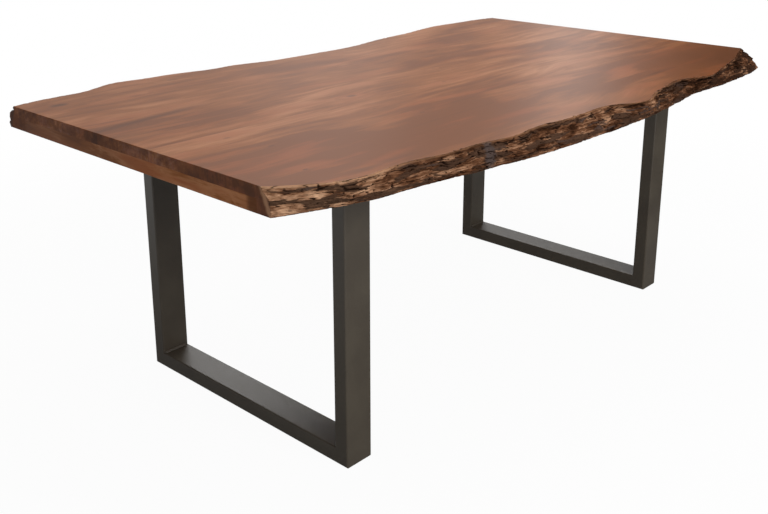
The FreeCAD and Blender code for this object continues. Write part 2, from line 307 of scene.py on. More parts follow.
@dataclass(frozen=True)
class Timber(Finish):
    """Stained and lacquered acacia, cut from one log: growth bands about a pith, fibres and pores.

    Attributes:
        pith: The log's middle, as its Y and Z with the grain along X.
        seed: How far along the log the board was cut.
        red: How much of the ruddy stain its flames took.
        streaks: Narrow mineral streaks, mixed with the stain.
        shades: Broad zones that are darker or lighter.
        joints: The Y of its glue lines.
        wander: How far the grain swings sideways.
        pith_wander: How far the pith strays sideways and up.
        polish: How much its roughness falls where its fibres stand highest.
        glue_line: How far off a glue line fades, from where to where, and from how dark to how dark.
        end_marks: Dark spots on its ends, each with its Y as x and its Z as y.
    """

    grain: Grain
    pith: Pair
    seed: float
    tone: float
    red: float
    sawn: bool = True
    knots: tuple[Knot, ...] = ()
    streaks: tuple[Streak, ...] = ()
    shades: tuple[Streak, ...] = ()
    joints: tuple[float, ...] = ()
    wander: float = 0.135
    pith_wander: Pair = (0.11, 0.06)
    dark: Colour = (0.146, 0.046, 0.012)
    middle: Colour = (0.220, 0.076, 0.022)
    light: Colour = (0.342, 0.146, 0.064)
    ruddy: Colour = (0.235, 0.068, 0.021)
    stain: Colour = (0.074, 0.024, 0.008)
    sapwood: Colour = (0.360, 0.190, 0.100)
    end_grain: Colour = (0.58, 0.60, 0.90)
    roughness: float = 0.30
    polish: float = 0.03
    rough_end: float = 0.85
    pore_depth: float = 0.00004
    glue_line: tuple[float, ...] = (0.0003, 0.0011, 0.30, 0.0)
    specular: float = 0.42
    end_marks: tuple[Knot, ...] = ()
    bark_line: BarkLine | None = None

    def write(self, tree: Tree) -> None:
        """Writes the pattern under a satin lacquer, rough where it is sawn across."""
        point = tree.place(self.grain.value, (self.seed, 0.0, 0.0))
        colour, relief = self.face(tree, point)
        roughness = relief * -self.polish + self.roughness
        if self.sawn:
            facing = tree.node("ShaderNodeTexCoord", output="Normal")
            across = abs(tree.split(facing)).ease(0.55, 0.85)
            colour = tree.mix(across, colour, self.end(tree, colour, point))
            roughness = roughness.highest(across * self.rough_end)
        tree.surface({"Base Color": colour, "Roughness": roughness, "IOR": 1.45,
                      "Normal": tree.bump(relief, self.pore_depth), "Specular IOR Level": self.specular})

    def face(self, tree: Tree, point: Wire) -> tuple[Wire, Wire]:
        """Writes the pattern of a face that is sawn along the grain.

        Args:
            tree: The nodes it is written in.
            point: The place in the log, with the grain along X.

        Returns:
            Its colour, and its fine relief from 0 to 1.
        """
        wave = tree.noise(point, (1.7, 5.0, 5.0), 2.0) - 0.5
        aside = tree.node("ShaderNodeCombineXYZ", {}, {"Y": wave * self.wander})
        point = tree.node("ShaderNodeVectorMath", {"operation": "ADD"}, {0: point, 1: aside})
        growth = tree.bands(self.rings(tree, point), 120.0, 3.0)
        flame = tree.noise(point, (3.0, 17.0, 17.0), 3.0, 0.6)
        cloud = tree.noise(point, (1.8, 4.5, 4.5), 2.0)
        streak = tree.noise(point, (5.5, 44.0, 44.0), 3.0, 0.6)
        fibre = tree.noise(point, (9.0, 260.0, 260.0), 2.0, 0.6)
        pores = tree.noise(point, (30.0, 700.0, 700.0), 1.0).ease(0.60, 0.74)
        shade = growth * 0.30 + streak * 0.56 + flame * 1.05 + cloud * 0.72 + fibre * 0.36 - 1.030
        for zone in self.shades:
            shade = shade - self.stripe(tree.flat, tree.flat.output("Y"), zone) * zone.dark
        colour = tree.ramp(shade * self.tone, (0.28, self.dark), (0.50, self.middle), (0.74, self.light))
        colour = tree.mix(flame.ease(0.50, 0.66, 0.0, self.red), colour, self.ruddy)
        colour = tree.mix(pores * 0.16, colour, self.stain)
        colour = tree.mix(self.marks(tree, fibre), colour, self.stain)
        return colour, fibre * 0.5 + pores * -0.15 + 0.3

    def rings(self, tree: Tree, point: Wire) -> Wire:
        """The distance from the wandering pith, pushed aside round each knot."""
        along = tree.split(point)
        aside = tree.noise(point, (0.9, 3.2, 3.2), 2.0) * self.pith_wander[0]
        up = tree.noise(point, (1.7, 6.0, 6.0), 1.0) * self.pith_wander[1]
        across = along.output("Y") + aside - self.pith[0]
        height = along.output("Z") + up - self.pith[1]
        distance = (across * across + height * height).power(0.5)
        for knot in self.knots:
            distance = distance + self.nearness(tree.flat, knot, 3.2) * (knot.reach * 0.6)
        return distance

    @staticmethod
    def nearness(flat: Wire, knot: Knot, spread: float) -> Wire:
        """One at a knot's heart, falling to nothing over its reach; a knot is longer along the grain."""
        along = (flat - knot.x) * (1 / (knot.reach * spread))
        across = (flat.output("Y") - knot.y) * (1 / (knot.reach * spread * 0.5))
        return (along * along + across * across).ease(0.0, 1.0, 1.0, 0.0)

    @staticmethod
    def stripe(flat: Wire, width: Wire, streak: Streak) -> Wire:
        """One on a streak's middle line, falling to nothing at its sides and towards its two ends."""
        middle = (streak.x_low + streak.x_high) / 2
        half = (streak.x_high - streak.x_low) / 2
        off = abs(width - streak.y - (flat - middle) * streak.slope)
        ends = abs(flat - middle).ease(half * 0.45, half, 1.0, 0.0)
        return off.ease(0.0, streak.half_width, 1.0, 0.0) * ends

    def marks(self, tree: Tree, fibre: Wire) -> Wire:
        """How dark the knots, mineral streaks and glue lines make the timber."""
        flat = tree.flat
        width = flat.output("Y")
        ragged = width + (fibre - 0.5) * 0.010
        darkness = [self.nearness(flat, knot, 1.0) * knot.dark for knot in self.knots]
        darkness += [self.stripe(flat, ragged, streak) * streak.dark for streak in self.streaks]
        darkness += [abs(width - joint).ease(*self.glue_line) for joint in self.joints]
        return reduce(Wire.highest, darkness, flat * 0.0)

    def end(self, tree: Tree, colour: Wire, point: Wire) -> Wire:
        """The colour of a face sawn across the grain, where the stain soaks in unevenly.

        Args:
            tree: The nodes it is written in.
            colour: The colour along the grain.
            point: The place in the log.

        Returns:
            The darker colour, with pale sapwood next to the bark where the board has any.
        """
        blotch = tree.noise(point, (3.0, 26.0, 34.0), 3.0, 0.6).ease(0.36, 0.66, 0.35, 1.0)
        rays = tree.noise(point, (4.0, 420.0, 30.0), 2.0).ease(0.42, 0.62, 0.0, 0.45)
        ended = tree.mix(blotch, colour, self.end_grain, "MULTIPLY")
        ended = tree.mix(rays, ended, self.end_grain, "MULTIPLY")
        across, up = (tree.flat.output(axis) for axis in "YZ")
        ended = tree.mix(spots(tree, across, up, self.end_marks, 1.2), ended, self.stain)
        if self.bark_line is None:
            return ended
        line = self.bark_line
        down = (line.top - up) * (1 / (line.top - line.bottom))
        left, right = (down * (foot - rim) + rim for rim, foot in (line.left, line.right))
        edge = left + (right - left) * tree.flat.ease(-0.01, 0.01)
        near = (abs(across - edge) + (blotch - 0.5) * 0.006).ease(0.003, 0.012, 0.8, 0.0)
        return tree.mix(near, ended, self.sapwood)


def spots(tree: Tree, across: Wire, up: Wire, marks: tuple[Knot, ...], flatness: float) -> Wire:
    """How strongly a few ragged marks show on a face.

    Args:
        tree: The nodes they are written in.
        across: The place along the face.
        up: The place up the face.
        marks: The marks, each with its place along the face as x and up it as y.
        flatness: How many times longer than high a mark is.

    Returns:
        Each mark's darkness inside it, and nothing elsewhere.
    """
    ragged = tree.noise(tree.place(), (60.0, 60.0, 130.0), 3.0) - 0.5
    total = across * 0.0
    for mark in marks:
        aside = (across - mark.x) * (1 / mark.reach)
        above = (up - mark.y) * (flatness / mark.reach)
        inside = aside * aside + above * above + ragged * 1.4
        total = total.highest(inside.ease(0.4, 1.1, mark.dark, 0.0))
    return total


@dataclass(frozen=True)
class Bark(Finish):
    """The waney side: fibrous sapwood, dark plates of bark left on it, and painted shade in its clefts, pits
    and the groove under its rim.

    Attributes:
        top: The rim's Z.
        seed: How far along the log it was cut.
        fresh: The X up to which it is freshly peeled and pale, and where that has faded.
        old: The X where it starts to be aged and dark, and where it is fully so.
        crusted: How much more of it keeps its bark.
        bruises: Bare grey places.
        polish: How much its roughness falls where its fibres stand highest.
    """

    top: float
    seed: float = 0.0
    fresh: Pair = (-1.00, -0.62)
    old: Pair = (0.10, 0.65)
    crusted: float = 0.0
    scars: tuple[Knot, ...] = ()
    bruises: tuple[Knot, ...] = ()
    pale: Colour = (0.440, 0.262, 0.158)
    tan: Colour = (0.250, 0.132, 0.074)
    brown: Colour = (0.100, 0.042, 0.020)
    shadow: Colour = (0.022, 0.008, 0.003)
    bark: Colour = (0.044, 0.023, 0.014)
    slate: Colour = (0.058, 0.044, 0.041)
    # The colour of the painted shade in the bark's hollows.
    hollow_shade: Colour = (0.010, 0.004, 0.002)
    roughness: float = 0.83
    polish: float = 0.15
    fibre_depth: float = 0.0016
    specular: float = 0.03

    def write(self, tree: Tree) -> None:
        """Writes nodes that follow the "bark" and "hollow" values worked into the mesh."""
        point = tree.place(0.0, (self.seed, 0.0, 0.0))
        along, up = tree.flat, tree.flat.output("Z")
        left, hollow = (tree.node("ShaderNodeAttribute", {"attribute_name": name}, output="Fac")
                        for name in ("bark", "hollow"))
        fibre = tree.noise(point, (14.0, 120.0, 330.0), 4.0, 0.65)
        strand = tree.noise(point, (7.0, 30.0, 85.0), 3.0, 0.6)
        lump = tree.noise(point, (18.0, 30.0, 48.0), 2.0)
        patch = tree.noise(point, (5.0, 12.0, 20.0), 2.0)
        grit = tree.noise(point, (240.0, 240.0, 420.0), 3.0, 0.6)
        place = along + (patch - 0.5) * 0.5
        aged = place.ease(*self.old)
        age = place.ease(*self.fresh, 0.22, 0.0) - aged * 0.14
        tint = fibre * 0.95 + strand * 0.90 + lump * 1.10 - 1.035 + age
        wood = tree.ramp(tint, (0.20, self.shadow), (0.44, self.brown), (0.66, self.tan), (0.90, self.pale))
        wood = tree.mix(spots(tree, along, up, self.scars, 2.0), wood, self.tan)
        crust = tree.mix(patch.ease(0.52, 0.62, 0.0, 0.45), self.bark, self.slate)
        crust = tree.mix(fibre.ease(0.50, 0.72, 0.0, 0.5), crust, self.brown)
        crust = tree.mix(aged * 0.62, crust, self.shadow)
        ragged = (grit - 0.5) * 0.4 + (fibre - 0.5) * 1.6 + (strand - 0.5) * 1.4 + self.crusted
        colour = tree.mix((left + ragged).ease(0.18, 0.74, 0.0, 0.95), wood, crust)
        colour = tree.mix(spots(tree, along, up, self.bruises, 0.5), colour, self.slate)
        rim = (up + (strand - 0.5) * 0.010).ease(self.top - 0.0045, self.top - 0.0022)
        colour = tree.mix(rim * (age * 3.0 + 0.34), colour, tree.mix(age * 2.0, self.tan, self.pale))
        # Painted shade in the clefts, pits, cracks and the groove under the rim, deeper where the bark is
        # aged.
        painted_shade = hollow * (aged * 0.5 + 1.0) + (grit - 0.5) * 0.25
        colour = tree.mix(painted_shade.ease(0.12, 0.70, 0.0, 0.95), colour, self.hollow_shade)
        relief = fibre * 0.7 + grit * 0.5
        tree.surface({"Base Color": colour, "Roughness": relief * -self.polish + self.roughness, "IOR": 1.45,
                      "Normal": tree.bump(relief, self.fibre_depth), "Specular IOR Level": self.specular})


@dataclass(frozen=True)
class PowderCoat(Finish):
    """Dark bronze powder coat, lighter and rougher in clouds, with a fine orange-peel texture."""

    name: str = "bronze_powder_coat"
    colour: Colour = (0.043, 0.034, 0.024)
    lighter: Colour = (0.053, 0.043, 0.030)
    roughness: float = 0.34
    clouding: float = 0.08
    peel_depth: float = 0.00010
    specular: float = 0.46

    def write(self, tree: Tree) -> None:
        """Writes the nodes."""
        point = tree.place()
        cloud = tree.noise(point, (9.0, 9.0, 9.0), 3.0)
        peel = tree.noise(point, (620.0, 620.0, 620.0), 2.0)
        speck = tree.noise(point, (2600.0, 2600.0, 2600.0), 1.0)
        colour = tree.mix(cloud.ease(0.3, 0.7), self.colour, self.lighter)
        relief = peel * 0.6 + speck * 0.4
        tree.surface({"Base Color": colour, "Roughness": cloud * self.clouding + self.roughness, "IOR": 1.5,
                      "Normal": tree.bump(relief, self.peel_depth), "Specular IOR Level": self.specular})


@dataclass(frozen=True)
class ZincPlate(Finish):
    """Bright zinc plating, greyer and rougher in clouds."""

    name: str = "zinc_plate"
    bright: Colour = (0.62, 0.62, 0.60)
    clouded: Colour = (0.46, 0.47, 0.48)
    roughness: float = 0.25
    clouding: float = 0.2

    def write(self, tree: Tree) -> None:
        """Writes the nodes."""
        cloud = tree.noise(tree.place(), (160.0, 160.0, 160.0), 3.0)
        tree.surface({"Base Color": tree.mix(cloud.ease(0.35, 0.65), self.bright, self.clouded),
                      "Roughness": cloud * self.clouding + self.roughness, "Metallic": 1.0})


# ---- Meshes ----
@dataclass(frozen=True)
class Relief:
    """Repeatable gradient noise over a flat sheet.

    Every corner of a unit lattice has a slope in a random direction. The value inside a cell is each
    corner's slope times the way from it, blended by the easing 6t^5 - 15t^4 + 10t^3 in both directions.
    """

    seed: int
    lattice: int = 256

    def at(self, u: Array, v: Array) -> Array:
        """The noise, about -0.7 to 0.7, at lattice coordinates u and v."""
        angles = np.random.default_rng(self.seed).uniform(0, 2 * np.pi, (self.lattice, self.lattice))
        left = np.floor(u).astype(int)
        low = np.floor(v).astype(int)
        part_u, part_v = u - left, v - low
        ease_u, ease_v = (t ** 3 * (t * (t * 6 - 15) + 10) for t in (part_u, part_v))
        rows = []
        for up in (0, 1):
            corners = []
            for right in (0, 1):
                angle = angles[(left + right) % self.lattice, (low + up) % self.lattice]
                corners.append(np.cos(angle) * (part_u - right) + np.sin(angle) * (part_v - up))
            rows.append(corners[0] + ease_u * (corners[1] - corners[0]))
        return rows[0] + ease_v * (rows[1] - rows[0])

    def layered(self, u: Array, v: Array, layers: int, falloff: float) -> Array:
        """Layers of the noise, each of twice the frequency and a falloff of the strength of the last."""
        total = np.zeros(np.broadcast(u, v).shape)
        for layer in range(layers):
            total += falloff ** layer * self.at(u * 2 ** layer + 17.3 * layer, v * 2 ** layer + 5.1 * layer)
        return total


def smooth_step(value: Array, low: float, high: float) -> Array:
    """Zero under low, one over high, and 3t^2 - 2t^3 between them."""
    t = np.clip((value - low) / (high - low), 0, 1)
    return t * t * (3 - 2 * t)


def hump(value: Array, middle: float, reach: float) -> Array:
    """One at the middle, falling as exp(-t^2) with the way t from there, in reaches."""
    return np.exp(-((value - middle) / reach) ** 2)


def rounded_over(reach: float, steps: int) -> tuple[Array, Array]:
    """A quarter-round edge: the way along one face, reach * (1 - cos a), and the way still to go on the
    next, reach * (1 - sin a), for the angle a from 0 to a right angle."""
    angle = np.linspace(0, np.pi / 2, steps + 1)
    return reach * (1 - np.cos(angle)), reach * (1 - np.sin(angle))


def lofted(name: str, shells: Sequence[Array], outwards: bool) -> bpy.types.Mesh:
    """Closed skins through rings of points, each with a flat cap on its first ring and its last.

    Args:
        name: The mesh's name.
        shells: Each skin's points, as an array of (rings, points in a ring, 3).
        outwards: Whether the rings' order makes the faces point outwards as it is.

    Returns:
        The mesh, with each skin's faces ring by ring and its two caps after them.
    """
    faces: list[list[int]] = []
    start = 0
    turn = 1 if outwards else -1
    for rings in shells:
        count, around = rings.shape[:2]
        ring = start + np.arange(count - 1)[:, None] * around
        here = np.arange(around)
        ahead = (here + 1) % around
        quads = np.stack([ring + here, ring + around + here, ring + around + ahead, ring + ahead], -1)
        faces += quads.reshape(-1, 4)[:, ::turn].tolist()
        caps = (start + here, start + (count - 1) * around + here[::-1])
        faces += [cap[::turn].tolist() for cap in caps]
        start += count * around
    mesh = bpy.data.meshes.new(name)
    mesh.from_pydata(np.concatenate([rings.reshape(-1, 3) for rings in shells]).tolist(), [], faces)
    mesh.update()
    return mesh


def placed(name: str, data: bpy.types.ID) -> bpy.types.Object:
    """A new object in the scene, made of some data."""
    made = bpy.data.objects.new(name, data)
    bpy.context.scene.collection.objects.link(made)
    return made


def new_piece(mesh: bpy.types.Mesh, slot: Slot, *materials: bpy.types.Material) -> bpy.types.Object:
    """Puts a mesh into the scene as a piece of the table that rides on its body.

    Args:
        mesh: The mesh, with its place in its points.
        slot: The record's material slot that it belongs to; not used.
        materials: Its materials, in the order of its faces' indices.

    Returns:
        The piece.
    """
    piece = placed(mesh.name, mesh)
    for material in materials:
        mesh.materials.append(material)
    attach(piece, BODY)
    LOG.info("%s made: %d faces", piece.name, len(mesh.polygons))
    return piece


def dress(node: str, material: bpy.types.Material) -> None:
    """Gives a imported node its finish, in every material slot that it has."""
    for slot in frame["nodes"][node].material_slots:
        slot.material = material
    LOG.info("%s dressed", node)


# ---- The top ----
TOP_KNOTS = tuple(Knot(*row) for row in (
    (-0.357, -0.021, 0.022, 0.75), (-0.873, -0.407, 0.010, 0.85), (-0.918, 0.431, 0.032, 0.85),
    (-0.875, 0.398, 0.026, 0.35), (-0.730, 0.382, 0.024, 0.35), (-0.807, -0.231, 0.011, 0.65),
    (-0.830, -0.113, 0.012, 0.50), (-0.420, -0.160, 0.010, 0.50), (-0.367, -0.267, 0.012, 0.60),
    (-0.060, -0.080, 0.012, 0.50), (0.280, 0.245, 0.018, 0.50), (0.440, 0.310, 0.030, 0.35),
    (0.765, -0.080, 0.035, 0.35), (0.060, 0.060, 0.010, 0.40), (-0.548, 0.482, 0.024, 0.50)))
TOP_STREAKS = tuple(Streak(*row) for row in (
    (-1.15, -0.62, 0.150, 0.022, 0.14, 0.66), (-1.02, -0.84, 0.193, 0.007, -0.10, 0.60),
    (-1.05, -0.76, 0.100, 0.005, 0.00, 0.45), (-1.05, -0.70, 0.052, 0.005, 0.02, 0.40),
    (-0.37, -0.12, -0.255, 0.006, 0.03, 0.40), (0.66, 0.88, -0.262, 0.010, 0.03, 0.65),
    (0.10, 0.62, 0.300, 0.008, -0.02, 0.30), (-0.60, 0.00, -0.335, 0.005, 0.04, 0.30),
    (-0.10, 0.35, 0.030, 0.005, 0.02, 0.30), (-0.85, -0.60, -0.485, 0.014, 0.02, 0.35),
    (0.36, 0.60, -0.445, 0.010, 0.02, 0.60), (0.50, 1.62, -0.500, 0.260, 0.0, 0.60)))
TOP_SHADES = tuple(Streak(*row) for row in (
    (0.34, 1.66, -0.470, 0.270, 0.0, 0.72), (-0.12, 0.30, -0.097, 0.016, 0.06, -0.14),
    (-0.85, -0.08, -0.112, 0.007, 0.01, -0.12), (-0.86, 0.02, -0.400, 0.150, 0.0, 0.42),
    (-0.52, 0.24, -0.215, 0.120, 0.10, 0.20), (-0.08, 0.52, 0.160, 0.120, 0.12, 0.15),
    (-0.60, 0.30, 0.330, 0.090, 0.0, -0.07), (-1.10, -0.60, 0.080, 0.160, 0.0, 0.14),
    (0.26, 0.78, 0.350, 0.070, 0.12, 0.16), (-1.30, -0.52, -0.300, 0.230, 0.0, 0.40),
    (-0.75, -0.20, 0.050, 0.160, 0.0, -0.08), (-0.10, 0.66, -0.360, 0.150, 0.0, 0.18),
    (0.40, 1.00, 0.180, 0.200, 0.0, -0.14)))
# Dark marks on the left batten and bearer: one darkens them broadly towards the back, one is a small dark
# wedge by the front board.
BATTEN_DARK_MARKS = (Knot(-1.0, 0.450, 1.10, 0.45), Knot(-1.0, -0.402, 0.048, 0.80))
END_MARKS = (Knot(-0.352, 0.750, 0.012, 0.7), Knot(-0.392, 0.744, 0.020, 0.8), Knot(0.170, 0.748, 0.014, 0.6))


@dataclass(frozen=True)
class Cut:
    """How one board lay in its log: its tone and redness, how far its pith is off its middle and under the
    top, and where along the log it was cut."""

    tone: float
    red: float
    offset: float
    drop: float
    seed: float


CORE_CUTS = (Cut(1.00, 0.62, 0.05, 0.20, 3.7), Cut(0.98, 0.55, -0.06, 0.16, 7.4),
             Cut(1.03, 0.45, 0.03, 0.24, 11.1), Cut(0.97, 0.50, 0.07, 0.18, 14.8),
             Cut(1.02, 0.45, -0.04, 0.22, 18.5))


def top_timber(node: str, cut: Cut, **more: Any) -> Timber:
    """The timber of one board of the top, with the knots, streaks and shades that reach it.

    Args:
        node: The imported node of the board.
        cut: How it lay in its log.
        more: Other fields of the timber.

    Returns:
        The timber.
    """
    low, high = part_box(node)
    knots = tuple(knot for knot in TOP_KNOTS if low.y <= knot.y < high.y)
    streaks, shades = (tuple(streak for streak in group if streak.touches(low.y, high.y))
                       for group in (TOP_STREAKS, TOP_SHADES))
    pith = ((low.y + high.y) / 2 + cut.offset, high.z - cut.drop)
    return Timber(node + "_timber", Grain.ALONG, pith, cut.seed, cut.tone, cut.red, knots=knots,
                  streaks=streaks, shades=shades, **more)


@dataclass(frozen=True)
class Wave:
    """One kind of unevenness in the log: the number of its pattern, how long and tall its lumps are, how
    many layers it has, how strong each is as a share of the last, and how far it stands out or cuts in."""

    number: int
    long: float
    tall: float
    layers: int = 3
    falloff: float = 0.5
    depth: float = 1.0


@dataclass(frozen=True)
class Skin:
    """The bark side's surface: how far it stands out, its share of bark, and how deep in painted shade it
    lies, point by point.
    """

    out: Array
    bark: Array
    hollow: Array


@dataclass
class LiveEdgeBoard:
    """A full-thickness board with its bark side worked in relief, in place of the plain packed one.

    Attributes:
        node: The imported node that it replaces.
        side: Which way the bark faces along Y, as -1 or 1.
        seed: Which of the relief's patterns it has.
        end_lip: How much deeper the lip is undercut towards the end at low X.
        end_reach: How far from that end this goes.
        belly: How far the bark side swells between rim and foot.
        lip: How deep the groove under the rim is, and how much deeper in places.
        groove: How far under the top the groove lies, and its reach up and down.
        swelling: The same of the swelling under it, at the end at low X.
        gnarl: From what X to what X the log gets gnarled.
    """

    node: str
    side: int
    timber: Timber
    bark: Bark
    seed: int
    end_lip: float = 0.0
    end_reach: float = 0.09
    stations: int = 1200
    bark_rows: int = 54
    arris: float = 0.0016
    arris_steps: int = 3
    slack: float = 1e-5
    belly: float = 0.006
    lip: Pair = (0.0026, 0.0032)
    groove: Pair = (0.0095, 0.0035)
    swelling: Pair = (0.026, 0.012)
    bite: float = 0.006
    gnarl: Pair = (0.05, 0.55)
    along: Wave = Wave(0, 0.06, 0.02, 1, depth=0.012)
    across: Wave = Wave(1, 0.07, 0.03, 1, depth=0.006)
    swells: Wave = Wave(2, 0.13, 0.05, depth=0.0085)
    plates: Wave = Wave(3, 0.105, 0.0125, 4, 0.58, depth=0.0026)
    clefts: Wave = Wave(4, 0.12, 0.011, depth=0.0048)
    knobs: Wave = Wave(5, 0.024, 0.013, 3, 0.55, depth=0.0042)
    fibres: Wave = Wave(6, 0.045, 0.0040, 2, 0.6, depth=0.0013)
    pits: Wave = Wave(7, 0.012, 0.010, 1, depth=0.0030)
    stretches: Wave = Wave(8, 0.19, 0.09, 1)
    lips: Wave = Wave(9, 0.11, 1.0, 1)
    chips: Wave = Wave(10, 0.035, 1.0, depth=0.0022)
    cracks: Wave = Wave(11, 0.050, 0.0060, 2, depth=0.0012)

    def build(self) -> None:
        """Makes the board and puts it in its node's place."""
        points, skin = self.sections()
        mesh = lofted(self.node + "_waney", [points], outwards=self.side < 0)
        rows = skin.bark.shape[1]
        barked = np.arange(len(mesh.polygons)) % points.shape[1] < rows - 1
        barked[-2:] = False
        mesh.polygons.foreach_set("material_index", barked.astype(np.int32))
        mesh.polygons.foreach_set("use_smooth", barked)
        for name, values in (("bark", skin.bark), ("hollow", skin.hollow)):
            padded = np.zeros(points.shape[:2], np.float32)
            padded[:, :rows] = values
            mesh.attributes.new(name, "FLOAT", "POINT").data.foreach_set("value", padded.ravel())
        timber = replace(self.timber, bark_line=self.bark_line(points[:, 0, 0]))
        piece = new_piece(mesh, Slot.BARK, timber.material(), self.bark.material())
        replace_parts(piece, self.node)

    def bark_line(self, x: Array) -> BarkLine:
        """Where the bark meets the two ends, for stations that run from one to the other."""
        low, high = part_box(self.node)
        rim, foot, _ = self.outline(x)
        left, right = ((self.side * float(rim[at]), self.side * float(foot[at])) for at in (0, -1))
        return BarkLine(high.z, low.z, left, right)

    def outline(self, x: Array) -> tuple[Array, Array, float]:
        """Reads the board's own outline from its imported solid.

        Args:
            x: The stations along the board.

        Returns:
            The outward distance of the rim and of the foot at each station, and of the glue face.
        """
        vertices = frame["nodes"][self.node].data.vertices
        at = np.empty(len(vertices) * 3, np.float32)
        vertices.foreach_get("co", at)
        at = at.reshape(-1, 3)
        out = at[:, 1] * self.side
        glue = float(out.min())
        outer = out > glue + self.arris
        edges = []
        for level in (at[:, 2].max(), at[:, 2].min()):
            found = outer & (np.abs(at[:, 2] - level) < self.slack)
            order = np.argsort(at[found, 0])
            edges.append(np.interp(x, at[found, 0][order], out[found][order]))
        return edges[0], edges[1], glue

    def depths(self) -> tuple[Array, Array]:
        """The bark side's rows: how deep each lies under the top, and how far its arris pulls it in."""
        low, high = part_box(self.node)
        thickness = high.z - low.z
        down, inward = rounded_over(self.arris, self.arris_steps)
        between = np.linspace(self.arris, thickness - self.arris, self.bark_rows)[1:-1]
        depth = np.concatenate([down, between, (thickness - down)[::-1]])
        return depth, np.concatenate([inward, np.zeros(between.size), inward[::-1]])

    def sections(self) -> tuple[Array, Skin]:
        """The board's cross-sections along X.

        Outwards, a section is the straight line from rim to foot, a parabola's belly on it, and the bark's
        relief; its ends are eased by drawing the section in along a quarter circle.

        Returns:
            Rings of points, each from the rim down the bark side, along the underside and up the glue face,
            and the bark side's surface on its own rows of them.
        """
        low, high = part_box(self.node)
        along, shrink = rounded_over(self.arris, self.arris_steps)
        inner = np.linspace(low.x + self.arris, high.x - self.arris, self.stations)[1:-1]
        x = np.concatenate([low.x + along, inner, (high.x - along)[::-1]])
        eased = np.concatenate([shrink, np.zeros(inner.size), shrink[::-1]])
        rim, foot, glue = self.outline(x)
        depth, pulled = self.depths()
        share = depth / (high.z - low.z)
        belly = 4 * self.belly * share * (1 - share)
        skin = self.relief(x[:, None], depth[None, :])
        out = rim[:, None] + (foot - rim)[:, None] * share + belly - pulled - eased[:, None] + skin.out
        out = np.maximum(out, glue + self.arris)
        z = np.clip(high.z - depth, low.z + eased[:, None], high.z - eased[:, None])
        corners = np.stack([low.z + eased, high.z - eased], 1)
        y = self.side * np.concatenate([out, np.full((x.size, 2), glue)], 1)
        z = np.concatenate([z, corners], 1)
        return np.stack([np.broadcast_to(x[:, None], y.shape), y, z], -1), skin

    def uneven(self, wave: Wave, u: Array, v: Array) -> Array:
        """One wave's noise at places along and across the log, before its depth is applied."""
        noise = Relief(self.seed + wave.number)
        return noise.layered(u / wave.long, v / wave.tall, wave.layers, wave.falloff)

    def relief(self, x: Array, depth: Array) -> Skin:
        """The bark side's surface, over its plain form.

        The log's surface is a sum of: swells a hand long; plates of bark, where a noise passes a level;
        clefts and finer cracks along the log, where others cross zero; knobs, pits and fine fibres; a
        groove under the rim's lip; and chips in the rim. Knobs and clefts grow towards the gnarled end at
        high X. All are drawn out along the log, and two slow noises shift them along and across it.

        Args:
            x: Places along the log.
            depth: Depths under the top.

        Returns:
            The surface at every pair of the two.
        """
        u = x + self.along.depth * self.uneven(self.along, x, depth)
        v = depth + self.across.depth * self.uneven(self.across, x, depth)
        plates = self.uneven(self.plates, u, v)
        plate = smooth_step(plates, 0.02, 0.11)
        much = smooth_step(self.uneven(self.stretches, u, v), -0.25, 0.25)
        cleft = 1 - smooth_step(np.abs(self.uneven(self.clefts, u, v)), 0.0, 0.085)
        cleft = cleft * (0.35 + 0.65 * much)
        crack = 1 - smooth_step(np.abs(self.uneven(self.cracks, u, v)), 0.0, 0.11)
        pit = smooth_step(self.uneven(self.pits, u, v), 0.38, 0.52)
        gnarled = 1 + 0.9 * smooth_step(x, *self.gnarl)
        rough = (self.swells.depth * self.uneven(self.swells, u, v) + self.plates.depth * plate
                 + self.fibres.depth * self.uneven(self.fibres, u, v)
                 + gnarled * self.knobs.depth * self.uneven(self.knobs, u, v)
                 - gnarled * self.clefts.depth * cleft - self.cracks.depth * crack - self.pits.depth * pit)
        free = 0.22 + 0.78 * smooth_step(depth, 0.0, 0.010)
        free = free * (0.45 + 0.55 * smooth_step(depth.max() - depth, 0.0, 0.010))
        end = hump(x, x.min(), self.end_reach) * self.end_lip
        least, more = self.lip
        lip = least + more * smooth_step(self.uneven(self.lips, x, 0 * x), 0.0, 0.35) + end
        groove = hump(depth, *self.groove) * lip
        swelling = hump(depth, *self.swelling) * end
        chips = self.uneven(self.chips, x, 0 * depth)
        chip = self.chips.depth * chips - self.bite * smooth_step(chips, 0.30, 0.52)
        chip = chip * (1 - 0.5 * smooth_step(depth, 0.0, 0.02))
        out = rough * free + chip - groove + swelling
        left = smooth_step(plates, -0.07, 0.17) * (0.4 + 0.6 * smooth_step(depth, 0.003, 0.009))
        # How deep in painted shade each point lies: in clefts, pits, cracks and the groove under the rim.
        hollow = np.clip(0.85 * cleft + 0.8 * pit + 0.55 * crack + 96 * groove - 0.1, 0, 1)
        return Skin(out, left.astype(np.float32), hollow.astype(np.float32))


